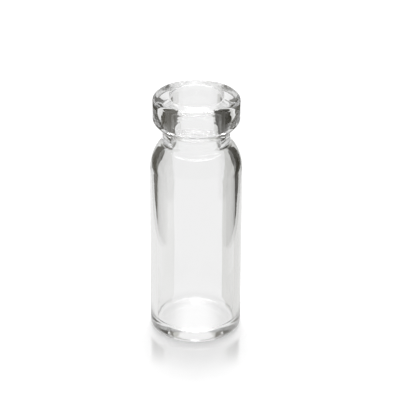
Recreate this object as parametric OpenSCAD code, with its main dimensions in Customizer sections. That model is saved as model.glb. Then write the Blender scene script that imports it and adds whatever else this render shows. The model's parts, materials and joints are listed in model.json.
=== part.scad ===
// Glass sample vial with a crimp head, formed in one piece from clear tubing.
// Millimetres, +Z up, the foot stands on Z = 0 and the axis is Z.

/* [Body] */
// Height from the table to the rim
overall_h = 32; // [26:0.5:40]
// Outer diameter of the body
body_d = 11.6; // [11:0.05:13]
// Wall thickness of the body
wall_t = 0.9; // [0.7:0.05:1.3]

/* [Base] */
// Outer radius of the heel, between the body and the foot
heel_r = 0.85; // [0.5:0.05:1.5]
// Width of the flat ring that the vial stands on
foot_w = 0.4; // [0.2:0.05:1]
// Inner radius of the foot, between the flat ring and the push-up
foot_r = 1.2; // [0.5:0.05:2]
// Radius of curvature of the push-up under the base
push_up_r = 45; // [20:1:80]
// Thickness of the glass at the edge of the floor
base_t = 1.25; // [0.9:0.05:2]
// Radius inside the vial, between the wall and the floor
floor_edge_r = 0.8; // [0.5:0.05:1.6]
// Radius of curvature of the raised floor inside the vial
floor_r = 60; // [20:1:100]

/* [Shoulder] */
// Outer radius where the body rounds in
shoulder_r = 5.6; // [4:0.1:7]
// Outer radius where the shoulder runs out into the neck
neck_root_r = 1; // [0.5:0.1:3]
// Inner radius where the body's wall rounds in
inner_shoulder_r = 3.7; // [2.5:0.1:5]
// Inner radius where the shoulder runs out into the bore
bore_root_r = 0.9; // [0.5:0.1:2.5]

/* [Neck] */
// Outer diameter of the neck
neck_d = 8.5; // [7.8:0.05:9.2]
// Height of the straight neck
neck_h = 0.85; // [0.2:0.05:1.5]
// Diameter of the bore
bore_d = 6.3; // [5.4:0.05:6.6]
// Depth of the straight bore, from the rim
bore_h = 6.2; // [5.6:0.1:7.5]

/* [Crimp head] */
// Outer diameter of the head
head_d = 10.95; // [10.2:0.05:11.5]
// Height of the head from its lower edge to the rim
head_h = 2.85; // [2:0.05:3.5]
// Slope of the head's underside from the axis, in degrees
underside_slope = 46; // [36:1:58]
// Radius between the neck and the underside
underside_root_r = 0.4; // [0.2:0.05:0.8]
// Radius of the head's lower edge
underside_edge_r = 1.05; // [0.5:0.05:1.6]
// Outer radius of the rim
rim_outer_r = 0.6; // [0.3:0.05:1]
// Inner radius of the rim
rim_inner_r = 0.5; // [0.2:0.05:0.8]

/* [Hidden] */
$fa = 3;
$fs = 0.1;
glass_colour = [0.88, 0.93, 0.92, 0.4];

body_r = body_d / 2;
cavity_r = body_r - wall_t;
neck_r = neck_d / 2;
bore_r = bore_d / 2;
head_r = head_d / 2;

// The flat foot ring lies between the heel and the foot's inner radius
foot_outer = body_r - heel_r;
foot_inner = foot_outer - foot_w;
// The push-up's arc runs smoothly into the foot's inner radius
push_up_span = asin(foot_inner / (push_up_r + foot_r));
push_up_z = foot_r - (push_up_r + foot_r) * cos(push_up_span);

// The raised floor's arc runs smoothly into the radius at its edge
floor_edge_x = cavity_r - floor_edge_r;
floor_edge_z = base_t + floor_edge_r;
floor_span = asin(floor_edge_x / (floor_r + floor_edge_r));
floor_z = floor_edge_z - (floor_r + floor_edge_r) * cos(floor_span);

// The shoulder is two arcs that meet smoothly, outside and inside
shoulder_slope = acos(1 - (body_r - neck_r) / (shoulder_r + neck_root_r));
inner_slope = acos(1 - (cavity_r - bore_r) / (inner_shoulder_r + bore_root_r));

// The head's underside is a straight flank between two radii
underside_turn = (underside_root_r + underside_edge_r) * (1 - cos(underside_slope));
flank_h = (head_r - neck_r - underside_turn) / tan(underside_slope);

// Heights of the joins down the outside and the inside
head_z = overall_h - head_h;
neck_top_z = head_z - flank_h - (underside_root_r + underside_edge_r) * sin(underside_slope);
neck_z = neck_top_z - neck_h;
shoulder_z = neck_z - (shoulder_r + neck_root_r) * sin(shoulder_slope);
bore_z = overall_h - bore_h;
inner_shoulder_z = bore_z - (inner_shoulder_r + bore_root_r) * sin(inner_slope);

// Points along an arc, as fine as $fa and $fs ask; first = 1 leaves out the point it shares
function arc(x, z, r, from, to, first = 0) =
    let (steps = ceil(abs(to - from) / max($fa, $fs / r * 180 / PI)))
    [for (i = [first:steps]) let (a = from + (to - from) * i / steps) [x + r * cos(a), z + r * sin(a)]];

// Under the base and up the outside to the rim
function outside() = concat(
    arc(0, push_up_z, push_up_r, 90, 90 - push_up_span),
    arc(foot_inner, foot_r, foot_r, 270 - push_up_span, 270, 1),
    arc(foot_outer, heel_r, heel_r, -90, 0),
    arc(body_r - shoulder_r, shoulder_z, shoulder_r, 0, shoulder_slope),
    arc(neck_r + neck_root_r, neck_z, neck_root_r, 180 + shoulder_slope, 180, 1),
    arc(neck_r + underside_root_r, neck_top_z, underside_root_r, 180, 180 - underside_slope),
    arc(head_r - underside_edge_r, head_z, underside_edge_r, -underside_slope, 0),
    arc(head_r - rim_outer_r, overall_h - rim_outer_r, rim_outer_r, 0, 90)
);

// From the rim down the bore and the wall to the middle of the floor
function inside() = concat(
    arc(bore_r + rim_inner_r, overall_h - rim_inner_r, rim_inner_r, 90, 180),
    arc(bore_r + bore_root_r, bore_z, bore_root_r, 180, 180 + inner_slope),
    arc(cavity_r - inner_shoulder_r, inner_shoulder_z, inner_shoulder_r, inner_slope, 0, 1),
    arc(floor_edge_x, floor_edge_z, floor_edge_r, 0, -90 - floor_span),
    arc(0, floor_z, floor_r, 90 - floor_span, 90, 1)
);

module glass_vial() {
    color(glass_colour) rotate_extrude() polygon(concat(outside(), inside()));
}

glass_vial();
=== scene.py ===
import json
import math

import bmesh
import bpy
from mathutils import Matrix, Vector


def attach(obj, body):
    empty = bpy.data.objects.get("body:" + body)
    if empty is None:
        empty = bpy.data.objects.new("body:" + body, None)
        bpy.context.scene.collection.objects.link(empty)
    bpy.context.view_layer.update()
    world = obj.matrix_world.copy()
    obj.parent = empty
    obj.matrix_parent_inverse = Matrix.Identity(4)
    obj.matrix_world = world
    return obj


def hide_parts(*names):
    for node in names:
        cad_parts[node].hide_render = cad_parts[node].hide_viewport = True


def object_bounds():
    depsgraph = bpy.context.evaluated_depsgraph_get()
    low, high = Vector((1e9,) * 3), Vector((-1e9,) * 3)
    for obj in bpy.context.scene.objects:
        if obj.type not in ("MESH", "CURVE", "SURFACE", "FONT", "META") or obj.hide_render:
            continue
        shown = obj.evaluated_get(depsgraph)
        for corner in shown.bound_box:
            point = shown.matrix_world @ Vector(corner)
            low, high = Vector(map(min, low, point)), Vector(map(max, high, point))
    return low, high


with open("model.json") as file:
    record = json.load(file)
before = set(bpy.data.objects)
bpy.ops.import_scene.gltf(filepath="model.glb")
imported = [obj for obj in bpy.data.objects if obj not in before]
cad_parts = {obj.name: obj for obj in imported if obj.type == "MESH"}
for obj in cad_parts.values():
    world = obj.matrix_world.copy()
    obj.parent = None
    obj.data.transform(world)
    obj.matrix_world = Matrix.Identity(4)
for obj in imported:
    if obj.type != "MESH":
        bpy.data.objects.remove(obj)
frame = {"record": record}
cadBox = [list(corner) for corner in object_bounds()]
mm = 0.001
scene = bpy.context.scene
scene.view_settings.view_transform = "Standard"
glassBounces = 40  # thick glass turns light round inside it many times
scene.cycles.max_bounces = glassBounces
scene.cycles.transmission_bounces = glassBounces
scene.cycles.glossy_bounces = glassBounces


def hexColour(code, alpha=1.0):
    # sRGB hex to the linear values that Blender's sockets take
    parts = [int(code[i:i + 2], 16) / 255 for i in (0, 2, 4)]
    return [p / 12.92 if p <= 0.04045 else ((p + 0.055) / 1.055) ** 2.4 for p in parts] + [alpha]


white = hexColour("FFFFFF")


def addNode(tree, kind, inputs=None, **settings):
    node = tree.nodes.new(kind)
    for name, value in settings.items():
        setattr(node, name, value)
    for name, value in (inputs or {}).items():
        if isinstance(value, bpy.types.NodeSocket):
            tree.links.new(value, node.inputs[name])
        else:
            node.inputs[name].default_value = value
    return node


def newMaterial(name):
    material = bpy.data.materials.new(name)
    material.use_nodes = True
    material.node_tree.nodes.clear()
    return material, material.node_tree


def meshObject(name, bm, material):
    mesh = bpy.data.meshes.new(name)
    bm.to_mesh(mesh)
    bm.free()
    piece = bpy.data.objects.new(name, mesh)
    scene.collection.objects.link(piece)
    mesh.materials.append(material)
    return piece


# Camera: it looks down on the vial from the front with a long lens
view = {
    "aim": (0.5, 0.0, 17.66),  # point on the vial at the middle of the frame, mm
    "distance": 273.6,  # mm
    "elevation": 26.06,  # degrees above the horizon
    "roll": 0.32,  # degrees
    "lens": 194.7,
    "sensor": 36.0,
    "near": 10.0,  # mm
    "far": 20000.0,
}


def makeCamera():
    data = bpy.data.cameras.new("camera")
    data.lens = view["lens"]
    data.sensor_width = view["sensor"]
    data.clip_start = view["near"] * mm
    data.clip_end = view["far"] * mm
    camera = bpy.data.objects.new("camera", data)
    scene.collection.objects.link(camera)
    tilt = math.radians(view["elevation"])
    forward = Vector((0, math.cos(tilt), -math.sin(tilt)))
    camera.location = (Vector(view["aim"]) - forward * view["distance"]) * mm
    roll = Matrix.Rotation(math.radians(view["roll"]), 3, "Z")
    camera.rotation_euler = (forward.to_track_quat("-Z", "Y").to_matrix() @ roll).to_euler()
    scene.camera = camera
    return camera


camera = makeCamera()
print("camera set")


# Clear borosilicate tubing glass, drawn and fire-polished: water-clear, bright in the middle and
# dark where the wall is seen edge on. Faint draw lines run up the tube, and the hot-formed head
# and shoulder have fine streaks round them. Sizes in mm
glass = {
    "colour": "FDFDFD",
    "ior": 1.495,
    "lines": (0.7, 0.7, 14.0),  # size of the draw lines along X, Y and Z
    "lineDepth": 0.006,
    "streaks": (3.5, 3.5, 0.5),  # size of the forming streaks
    "streakDepth": 0.018,
    "formedFrom": 24.0,  # height where the forming starts
    "formedTo": 27.0,
    "detail": 2.0,  # finer ripples within each ripple
    "detailShare": 0.4,
}


def borosilicateGlass():
    material, tree = newMaterial("borosilicate_glass_fire_polished")
    place = addNode(tree, "ShaderNodeTexCoord")

    def ripple(size, depth):
        spread = addNode(tree, "ShaderNodeVectorMath", {
            0: place.outputs["Object"], 1: [1 / (side * mm) for side in size]}, operation="MULTIPLY")
        noise = addNode(tree, "ShaderNodeTexNoise", {
            "Vector": spread.outputs["Vector"], "Scale": 1.0,
            "Detail": glass["detail"], "Roughness": glass["detailShare"]})
        height = addNode(tree, "ShaderNodeMath", {0: noise.outputs["Fac"], 1: depth * mm}, operation="MULTIPLY")
        return height.outputs[0]

    axes = addNode(tree, "ShaderNodeSeparateXYZ", {"Vector": place.outputs["Object"]})
    formed = addNode(tree, "ShaderNodeMapRange", {
        "Value": axes.outputs["Z"],
        "From Min": glass["formedFrom"] * mm, "From Max": glass["formedTo"] * mm, "To Min": 0.0, "To Max": 1.0,
    }, interpolation_type="SMOOTHSTEP")
    height = addNode(tree, "ShaderNodeMix", {
        "Factor": formed.outputs["Result"], "A": ripple(glass["lines"], glass["lineDepth"]),
        "B": ripple(glass["streaks"], glass["streakDepth"])})
    waves = addNode(tree, "ShaderNodeBump", {"Strength": 1.0, "Distance": 1.0, "Height": height.outputs["Result"]})
    shader = addNode(tree, "ShaderNodeBsdfPrincipled", {
        "Base Color": hexColour(glass["colour"]),
        "Roughness": 0.0,
        "IOR": glass["ior"],
        "Transmission Weight": 1.0,
        "Normal": waves.outputs["Normal"],
    })
    addNode(tree, "ShaderNodeOutputMaterial", {"Surface": shader.outputs["BSDF"]})
    return material


# The vial: one outline of arcs and straight runs, spun about Z. Sizes in mm as in the solid
mounts = {m["name"]: m["dims"] for m in frame["record"]["mounts"]}
vialShape = {
    "height": cadBox[1][2] / mm,
    "bodyR": cadBox[1][0] / mm,
    "headR": mounts["crimp_head"]["r_mm"],
    "boreR": mounts["neck_bore"]["r_mm"],
    "neckR": 4.25,
    "wall": 0.9,
    "heelR": 0.85,
    "footWidth": 0.4,
    "footR": 1.2,
    "pushUpR": 45.0,
    "base": 1.25,
    "floorEdgeR": 0.8,
    "floorR": 60.0,
    "shoulderR": 5.6,
    "neckRootR": 1.0,
    "innerShoulderR": 3.7,
    "boreRootR": 0.9,
    "neckHeight": 0.85,
    "boreDepth": 6.2,
    "headHeight": 2.85,
    "undersideSlope": 46.0,
    "undersideRootR": 0.4,
    "undersideEdgeR": 1.05,
    "rimOuterR": 0.6,
    "rimInnerR": 0.5,
    "arcStep": 3.0,  # degrees of arc to a segment
    "runStep": 0.5,  # mm of straight run to a segment
    "shortest": 0.001,  # shorter runs are left out
    "turns": 224,  # segments round the axis
    "merge": 0.0005,  # points this close become one
}


def vialOutline(s):
    # arcs in order from the middle of the push-up, up the outside and down the inside:
    # centre x and z, radius, start and end angle in degrees
    cavityR = s["bodyR"] - s["wall"]
    footOuter = s["bodyR"] - s["heelR"]
    footInner = footOuter - s["footWidth"]
    pushSpan = math.degrees(math.asin(footInner / (s["pushUpR"] + s["footR"])))
    pushZ = s["footR"] - (s["pushUpR"] + s["footR"]) * math.cos(math.radians(pushSpan))
    edgeX = cavityR - s["floorEdgeR"]
    edgeZ = s["base"] + s["floorEdgeR"]
    floorSpan = math.degrees(math.asin(edgeX / (s["floorR"] + s["floorEdgeR"])))
    floorZ = edgeZ - (s["floorR"] + s["floorEdgeR"]) * math.cos(math.radians(floorSpan))
    outerSum = s["shoulderR"] + s["neckRootR"]
    outerSlope = math.acos(1 - (s["bodyR"] - s["neckR"]) / outerSum)
    innerSum = s["innerShoulderR"] + s["boreRootR"]
    innerSlope = math.acos(1 - (cavityR - s["boreR"]) / innerSum)
    slope = math.radians(s["undersideSlope"])
    edgeSum = s["undersideRootR"] + s["undersideEdgeR"]
    flankHeight = (s["headR"] - s["neckR"] - edgeSum * (1 - math.cos(slope))) / math.tan(slope)
    headZ = s["height"] - s["headHeight"]
    neckTopZ = headZ - flankHeight - edgeSum * math.sin(slope)
    neckZ = neckTopZ - s["neckHeight"]
    shoulderZ = neckZ - outerSum * math.sin(outerSlope)
    boreZ = s["height"] - s["boreDepth"]
    innerShoulderZ = boreZ - innerSum * math.sin(innerSlope)
    outer, inner = math.degrees(outerSlope), math.degrees(innerSlope)
    return [
        (0, pushZ, s["pushUpR"], 90, 90 - pushSpan),
        (footInner, s["footR"], s["footR"], 270 - pushSpan, 270),
        (footOuter, s["heelR"], s["heelR"], -90, 0),
        (s["bodyR"] - s["shoulderR"], shoulderZ, s["shoulderR"], 0, outer),
        (s["neckR"] + s["neckRootR"], neckZ, s["neckRootR"], 180 + outer, 180),
        (s["neckR"] + s["undersideRootR"], neckTopZ, s["undersideRootR"], 180, 180 - s["undersideSlope"]),
        (s["headR"] - s["undersideEdgeR"], headZ, s["undersideEdgeR"], -s["undersideSlope"], 0),
        (s["headR"] - s["rimOuterR"], s["height"] - s["rimOuterR"], s["rimOuterR"], 0, 90),
        (s["boreR"] + s["rimInnerR"], s["height"] - s["rimInnerR"], s["rimInnerR"], 90, 180),
        (s["boreR"] + s["boreRootR"], boreZ, s["boreRootR"], 180, 180 + inner),
        (cavityR - s["innerShoulderR"], innerShoulderZ, s["innerShoulderR"], inner, 0),
        (edgeX, edgeZ, s["floorEdgeR"], 0, -90 - floorSpan),
        (0, floorZ, s["floorR"], 90 - floorSpan, 90),
    ]


def vialSurface():
    bm = bmesh.new()
    tip = None
    for x, z, r, start, end in vialOutline(vialShape):
        a = math.radians(start)
        first = Vector((x + r * math.cos(a), 0, z + r * math.sin(a))) * mm
        if tip is None:
            tip = bm.verts.new(first)
        run = first - tip.co
        if run.length > vialShape["shortest"] * mm:  # a straight run up to the next arc
            pieces = math.ceil(run.length / mm / vialShape["runStep"])
            for i in range(pieces):
                tip = bmesh.ops.extrude_vert_indiv(bm, verts=[tip])["verts"][0]
                tip.co += run / pieces
        steps = max(3, math.ceil(abs(end - start) / vialShape["arcStep"]))
        swept = bmesh.ops.spin(bm, geom=[tip], cent=Vector((x, 0, z)) * mm, axis=(0, -1, 0),
                               angle=math.radians(end - start), steps=steps)
        tip = [g for g in swept["geom_last"] if isinstance(g, bmesh.types.BMVert)][0]
    bmesh.ops.spin(bm, geom=bm.verts[:] + bm.edges[:], cent=(0, 0, 0), axis=(0, 0, 1),
                   angle=math.tau, steps=vialShape["turns"], use_merge=True)
    bmesh.ops.remove_doubles(bm, verts=bm.verts, dist=vialShape["merge"] * mm)
    bmesh.ops.recalc_face_normals(bm, faces=bm.faces)
    for face in bm.faces:
        face.smooth = True
    return bm


def makeVial(material):
    vial = meshObject("vial_glass", vialSurface(), material)
    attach(vial, "root")
    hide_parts("glass_vial")
    return vial


vial = makeVial(borosilicateGlass())
print("vial spun,", len(vial.data.polygons), "faces")


# The table, the lamps and the set stand on a turntable that faces the camera
def makeTurntable():
    turntable = bpy.data.objects.new("turntable", None)
    scene.collection.objects.link(turntable)
    track = turntable.constraints.new("LOCKED_TRACK")
    track.target = camera
    track.track_axis = "TRACK_NEGATIVE_Y"
    track.lock_axis = "LOCK_Z"
    return turntable


turntable = makeTurntable()


# Pale table of satin acrylic, polished in a ring round the vial: the camera sees it white with the
# vial's soft shadow and reflection, the glass sees it pale grey with a painted pool of light under the vial
table = {
    "size": 6000.0,  # mm
    "drop": 0.02,
    "colour": "A0A0A0",
    "roughness": 0.5,
    "glow": 0.5,  # with the light on it this is white to the camera
    "seen": 0.9,  # level through the glass
    "under": 1.05,  # painted light: brighter under the vial, where the glass gathers the light
    "underSide": 0.86,  # the painted light there to the left and right
    "sideFrom": 1.0,  # mm from the middle
    "sideTo": 3.4,
    "underFrom": 4.6,  # mm from the axis
    "underTo": 6.2,
    "polish": 0.3,  # share of mirror in the ring
    "polishFrom": 6.4,  # mm from the axis
    "polishFull": 7.6,
    "polishTo": 13.0,
    "polishRoughness": 0.08,
}


def satinAcrylic():
    material, tree = newMaterial("white_acrylic_satin")
    satin = addNode(tree, "ShaderNodeBsdfPrincipled", {
        "Base Color": hexColour(table["colour"]),
        "Roughness": table["roughness"],
        "Specular IOR Level": 0.0,
        "Emission Color": white,
        "Emission Strength": table["glow"],
    })
    polished = addNode(tree, "ShaderNodeBsdfAnisotropic", {"Color": white, "Roughness": table["polishRoughness"]})
    place = addNode(tree, "ShaderNodeTexCoord")
    away = addNode(tree, "ShaderNodeVectorMath", {0: place.outputs["Object"]}, operation="LENGTH")
    rise = addNode(tree, "ShaderNodeMapRange", {
        "Value": away.outputs["Value"],
        "From Min": table["polishFrom"] * mm, "From Max": table["polishFull"] * mm,
        "To Min": 0.0, "To Max": table["polish"],
    }, interpolation_type="SMOOTHSTEP")
    share = addNode(tree, "ShaderNodeMapRange", {
        "Value": away.outputs["Value"],
        "From Min": table["polishFull"] * mm, "From Max": table["polishTo"] * mm,
        "To Min": rise.outputs["Result"], "To Max": 0.0,
    }, interpolation_type="SMOOTHSTEP")
    direct = addNode(tree, "ShaderNodeMixShader", {
        "Fac": share.outputs["Result"], 1: satin.outputs["BSDF"], 2: polished.outputs["BSDF"]})
    axes = addNode(tree, "ShaderNodeSeparateXYZ", {"Vector": place.outputs["Object"]})
    across = addNode(tree, "ShaderNodeMath", {0: axes.outputs["X"]}, operation="ABSOLUTE")
    # painted pool of light under the vial, which only the glass shows: emission, not light from the lamps
    under = addNode(tree, "ShaderNodeMapRange", {
        "Value": across.outputs[0],
        "From Min": table["sideFrom"] * mm, "From Max": table["sideTo"] * mm,
        "To Min": table["under"], "To Max": table["underSide"],
    }, interpolation_type="SMOOTHSTEP")
    level = addNode(tree, "ShaderNodeMapRange", {
        "Value": away.outputs["Value"],
        "From Min": table["underFrom"] * mm, "From Max": table["underTo"] * mm,
        "To Min": under.outputs["Result"], "To Max": table["seen"],
    }, interpolation_type="SMOOTHSTEP")
    through = addNode(tree, "ShaderNodeEmission", {"Color": white, "Strength": level.outputs["Result"]})
    path = addNode(tree, "ShaderNodeLightPath")
    mixed = addNode(tree, "ShaderNodeMixShader", {
        "Fac": path.outputs["Is Camera Ray"], 1: through.outputs["Emission"], 2: direct.outputs["Shader"]})
    addNode(tree, "ShaderNodeOutputMaterial", {"Surface": mixed.outputs["Shader"]})
    return material


def makeFloor():
    bm = bmesh.new()
    bmesh.ops.create_grid(bm, x_segments=1, y_segments=1, size=table["size"] / 2 * mm)
    bmesh.ops.translate(bm, verts=bm.verts, vec=(0, 0, -table["drop"] * mm))
    floor = meshObject("floor", bm, satinAcrylic())
    floor.parent = turntable


makeFloor()

# World: white to the camera, in reflections and through the glass, a plain level as light
sky = {"light": 0.6, "white": 1.0}


def makeWorld():
    world = bpy.data.worlds.new("studio")
    scene.world = world
    world.use_nodes = True
    tree = world.node_tree
    tree.nodes.clear()
    path = addNode(tree, "ShaderNodeLightPath")
    shown = addNode(tree, "ShaderNodeMath", {
        0: path.outputs["Is Camera Ray"], 1: path.outputs["Is Glossy Ray"]}, operation="MAXIMUM")
    shown = addNode(tree, "ShaderNodeMath", {
        0: shown.outputs[0], 1: path.outputs["Is Transmission Ray"]}, operation="MAXIMUM")
    level = addNode(tree, "ShaderNodeMapRange", {
        "Value": shown.outputs[0], "To Min": sky["light"], "To Max": sky["white"]})
    glow = addNode(tree, "ShaderNodeBackground", {"Strength": level.outputs["Result"], "Color": white})
    addNode(tree, "ShaderNodeOutputWorld", {"Surface": glow.outputs["Background"]})


makeWorld()
print("table and world made")

# Light from behind and above: a small softbox for the highlights and a broad sail of light, which
# gives the floor its soft shadow. Places in mm, power in watts, strength in watts a square metre
softbox = {"at": (0, 180, 400), "side": 200.0, "power": 1.2}
sail = {"elevation": 72.0, "spread": 44.0, "away": 500.0, "strength": 3.0}  # angles in degrees


def makeLamp(name, kind, at):
    lamp = bpy.data.objects.new(name, bpy.data.lights.new(name, kind))
    scene.collection.objects.link(lamp)
    lamp.parent = turntable
    lamp.location = Vector(at) * mm
    lamp.rotation_euler = (-Vector(at)).to_track_quat("-Z", "Y").to_euler()
    lamp.visible_camera = False
    return lamp


def makeLamps():
    lamp = makeLamp("softbox_back", "AREA", softbox["at"])
    lamp.data.size = softbox["side"] * mm
    lamp.data.energy = softbox["power"]
    rise = math.radians(sail["elevation"])
    lamp = makeLamp("sail_back", "SUN", (0, sail["away"] * math.cos(rise), sail["away"] * math.sin(rise)))
    lamp.data.angle = math.radians(sail["spread"])
    lamp.data.energy = sail["strength"]
    lamp.visible_glossy = False
    lamp.visible_transmission = False


makeLamps()


def hideStage(piece):
    # seen only through the glass, and without a shadow
    piece.parent = turntable
    piece.visible_camera = False
    piece.visible_diffuse = False
    piece.visible_glossy = False
    piece.visible_shadow = False


# Tent round the set, as the glass sees it: a glowing cloth with painted light and shade, bright behind, dim on
# the camera's side and overhead. Turns and heights are parts of the radius
tent = {
    "radius": 1200.0,  # mm
    "segments": 48,
    "rings": 24,
    "back": 0.92,
    "front": 0.32,
    "turnFrom": -0.3,
    "turnTo": 0.5,
    "top": 0.3,
    "topFrom": 0.5,
    "topTo": 0.95,
}


def tentPaintedLight():
    material, tree = newMaterial("tent_painted_light")
    place = addNode(tree, "ShaderNodeTexCoord")
    way = addNode(tree, "ShaderNodeVectorMath", {0: place.outputs["Object"]}, operation="NORMALIZE")
    axes = addNode(tree, "ShaderNodeSeparateXYZ", {"Vector": way.outputs["Vector"]})
    side = addNode(tree, "ShaderNodeMapRange", {
        "Value": axes.outputs["Y"], "From Min": tent["turnFrom"], "From Max": tent["turnTo"],
        "To Min": tent["front"], "To Max": tent["back"],
    }, interpolation_type="SMOOTHSTEP")
    over = addNode(tree, "ShaderNodeMapRange", {
        "Value": axes.outputs["Z"], "From Min": tent["topFrom"], "From Max": tent["topTo"],
        "To Min": 0.0, "To Max": 1.0,
    }, interpolation_type="SMOOTHSTEP")
    level = addNode(tree, "ShaderNodeMix", {
        "Factor": over.outputs["Result"], "A": side.outputs["Result"], "B": tent["top"]})
    # the tent glows: painted light behind, painted shade on the camera's side and overhead
    shader = addNode(tree, "ShaderNodeEmission", {"Color": white, "Strength": level.outputs["Result"]})
    addNode(tree, "ShaderNodeOutputMaterial", {"Surface": shader.outputs["Emission"]})
    return material


def makeTent():
    bm = bmesh.new()
    bmesh.ops.create_uvsphere(bm, u_segments=tent["segments"], v_segments=tent["rings"], radius=tent["radius"] * mm)
    hideStage(meshObject("tent", bm, tentPaintedLight()))


makeTent()


def cutSheet(name, outline, material):
    bm = bmesh.new()
    corners = [bm.verts.new(Vector(point) * mm) for point in outline]
    edges = [bm.edges.new(pair) for pair in zip(corners, corners[1:] + corners[:1])]
    bmesh.ops.contextual_create(bm, geom=edges)
    piece = meshObject(name, bm, material)
    hideStage(piece)
    return piece


# Cards left and right, each glowing at one set tone: painted shade, which gives clear glass its dark edges. A
# slanting gap between the near cards and the high ones behind keeps the bore clear. Outlines in mm along Y and Z
flags = {
    "flag_left": {
        "x": -29.5, "colour": "5A5851",
        "outline": ((-6, 0), (95, 0), (95, 22), (58, 39), (58, 60), (-6, 60)),
    },
    "flag_left_high": {
        "x": -29.5, "colour": "807E78",
        "outline": ((58, 40), (95, 40), (95, 60), (58, 60)),
    },
    "flag_left_far": {
        "x": -29.5, "colour": "CCCCC8",
        "outline": ((95, 40), (233, 40), (233, 67), (95, 67)),
    },
    "flag_right": {
        "x": 29, "colour": "3E3C35",
        "outline": ((-8, 0), (83, 0), (83, 26), (58, 39), (58, 67), (-8, 67)),
    },
    "flag_right_high": {
        "x": 29, "colour": "807E78",
        "outline": ((58, 40), (83, 40), (83, 67), (58, 67)),
    },
    "flag_right_far": {
        "x": 29, "colour": "C4C4BF",
        "outline": ((83, 40), (233, 40), (233, 67), (83, 67)),
    },
}


def paintedShadeCard(colour):
    # a card glowing at one even tone, whatever light falls on it: painted shade for the glass to show
    material, tree = newMaterial("card_painted_shade")
    shader = addNode(tree, "ShaderNodeEmission", {"Color": hexColour(colour), "Strength": 1.0})
    addNode(tree, "ShaderNodeOutputMaterial", {"Surface": shader.outputs["Emission"]})
    return material


for name, card in flags.items():
    outline = [(card["x"], y, z) for y, z in card["outline"]]
    sheet = cutSheet(name, outline, paintedShadeCard(card["colour"]))
    sheet.visible_glossy = True  # the glass mirrors the cards on its outside too

# Pale gels close behind, a painted shadow of the vial on the table that only the glass sees, which give the two
# soft strips. Each hangs down and its lower end lies on the table, cut out round the vial. Outlines in mm along X
# and Z, and along X and Y on the table
gels = {
    "left": {
        "y": 8, "colour": "F5F5F4",
        "hung": ((-3.6, 0), (-20, 0), (-20, 45), (-3.6, 45)),
        "laid": ((-3.6, 8), (-20, 8), (-20, -3), (-6, -3), (-5.7, 1.6), (-4.7, 3.8), (-3.6, 4.9)),
    },
    "right": {
        "y": 8, "colour": "E5E5E3",
        "hung": ((4.6, 0), (20, 0), (20, 45), (4.6, 45)),
        "laid": ((4.6, 8), (20, 8), (20, -3), (6, -3), (5.7, 1.6), (4.6, 3.9)),
    },
}


def paintedShadowFilm(colour):
    # clear film that dims what is behind it: painted shadow of the vial, seen only through the glass
    material, tree = newMaterial("film_painted_shadow")
    shader = addNode(tree, "ShaderNodeBsdfTransparent", {"Color": hexColour(colour)})
    addNode(tree, "ShaderNodeOutputMaterial", {"Surface": shader.outputs["BSDF"]})
    return material


for name, gel in gels.items():
    film = paintedShadowFilm(gel["colour"])
    cutSheet("gel_" + name, [(x, gel["y"], z) for x, z in gel["hung"]], film)
    cutSheet("flap_" + name, [(x, y, 0) for x, y in gel["laid"]], film)
print("set lit")
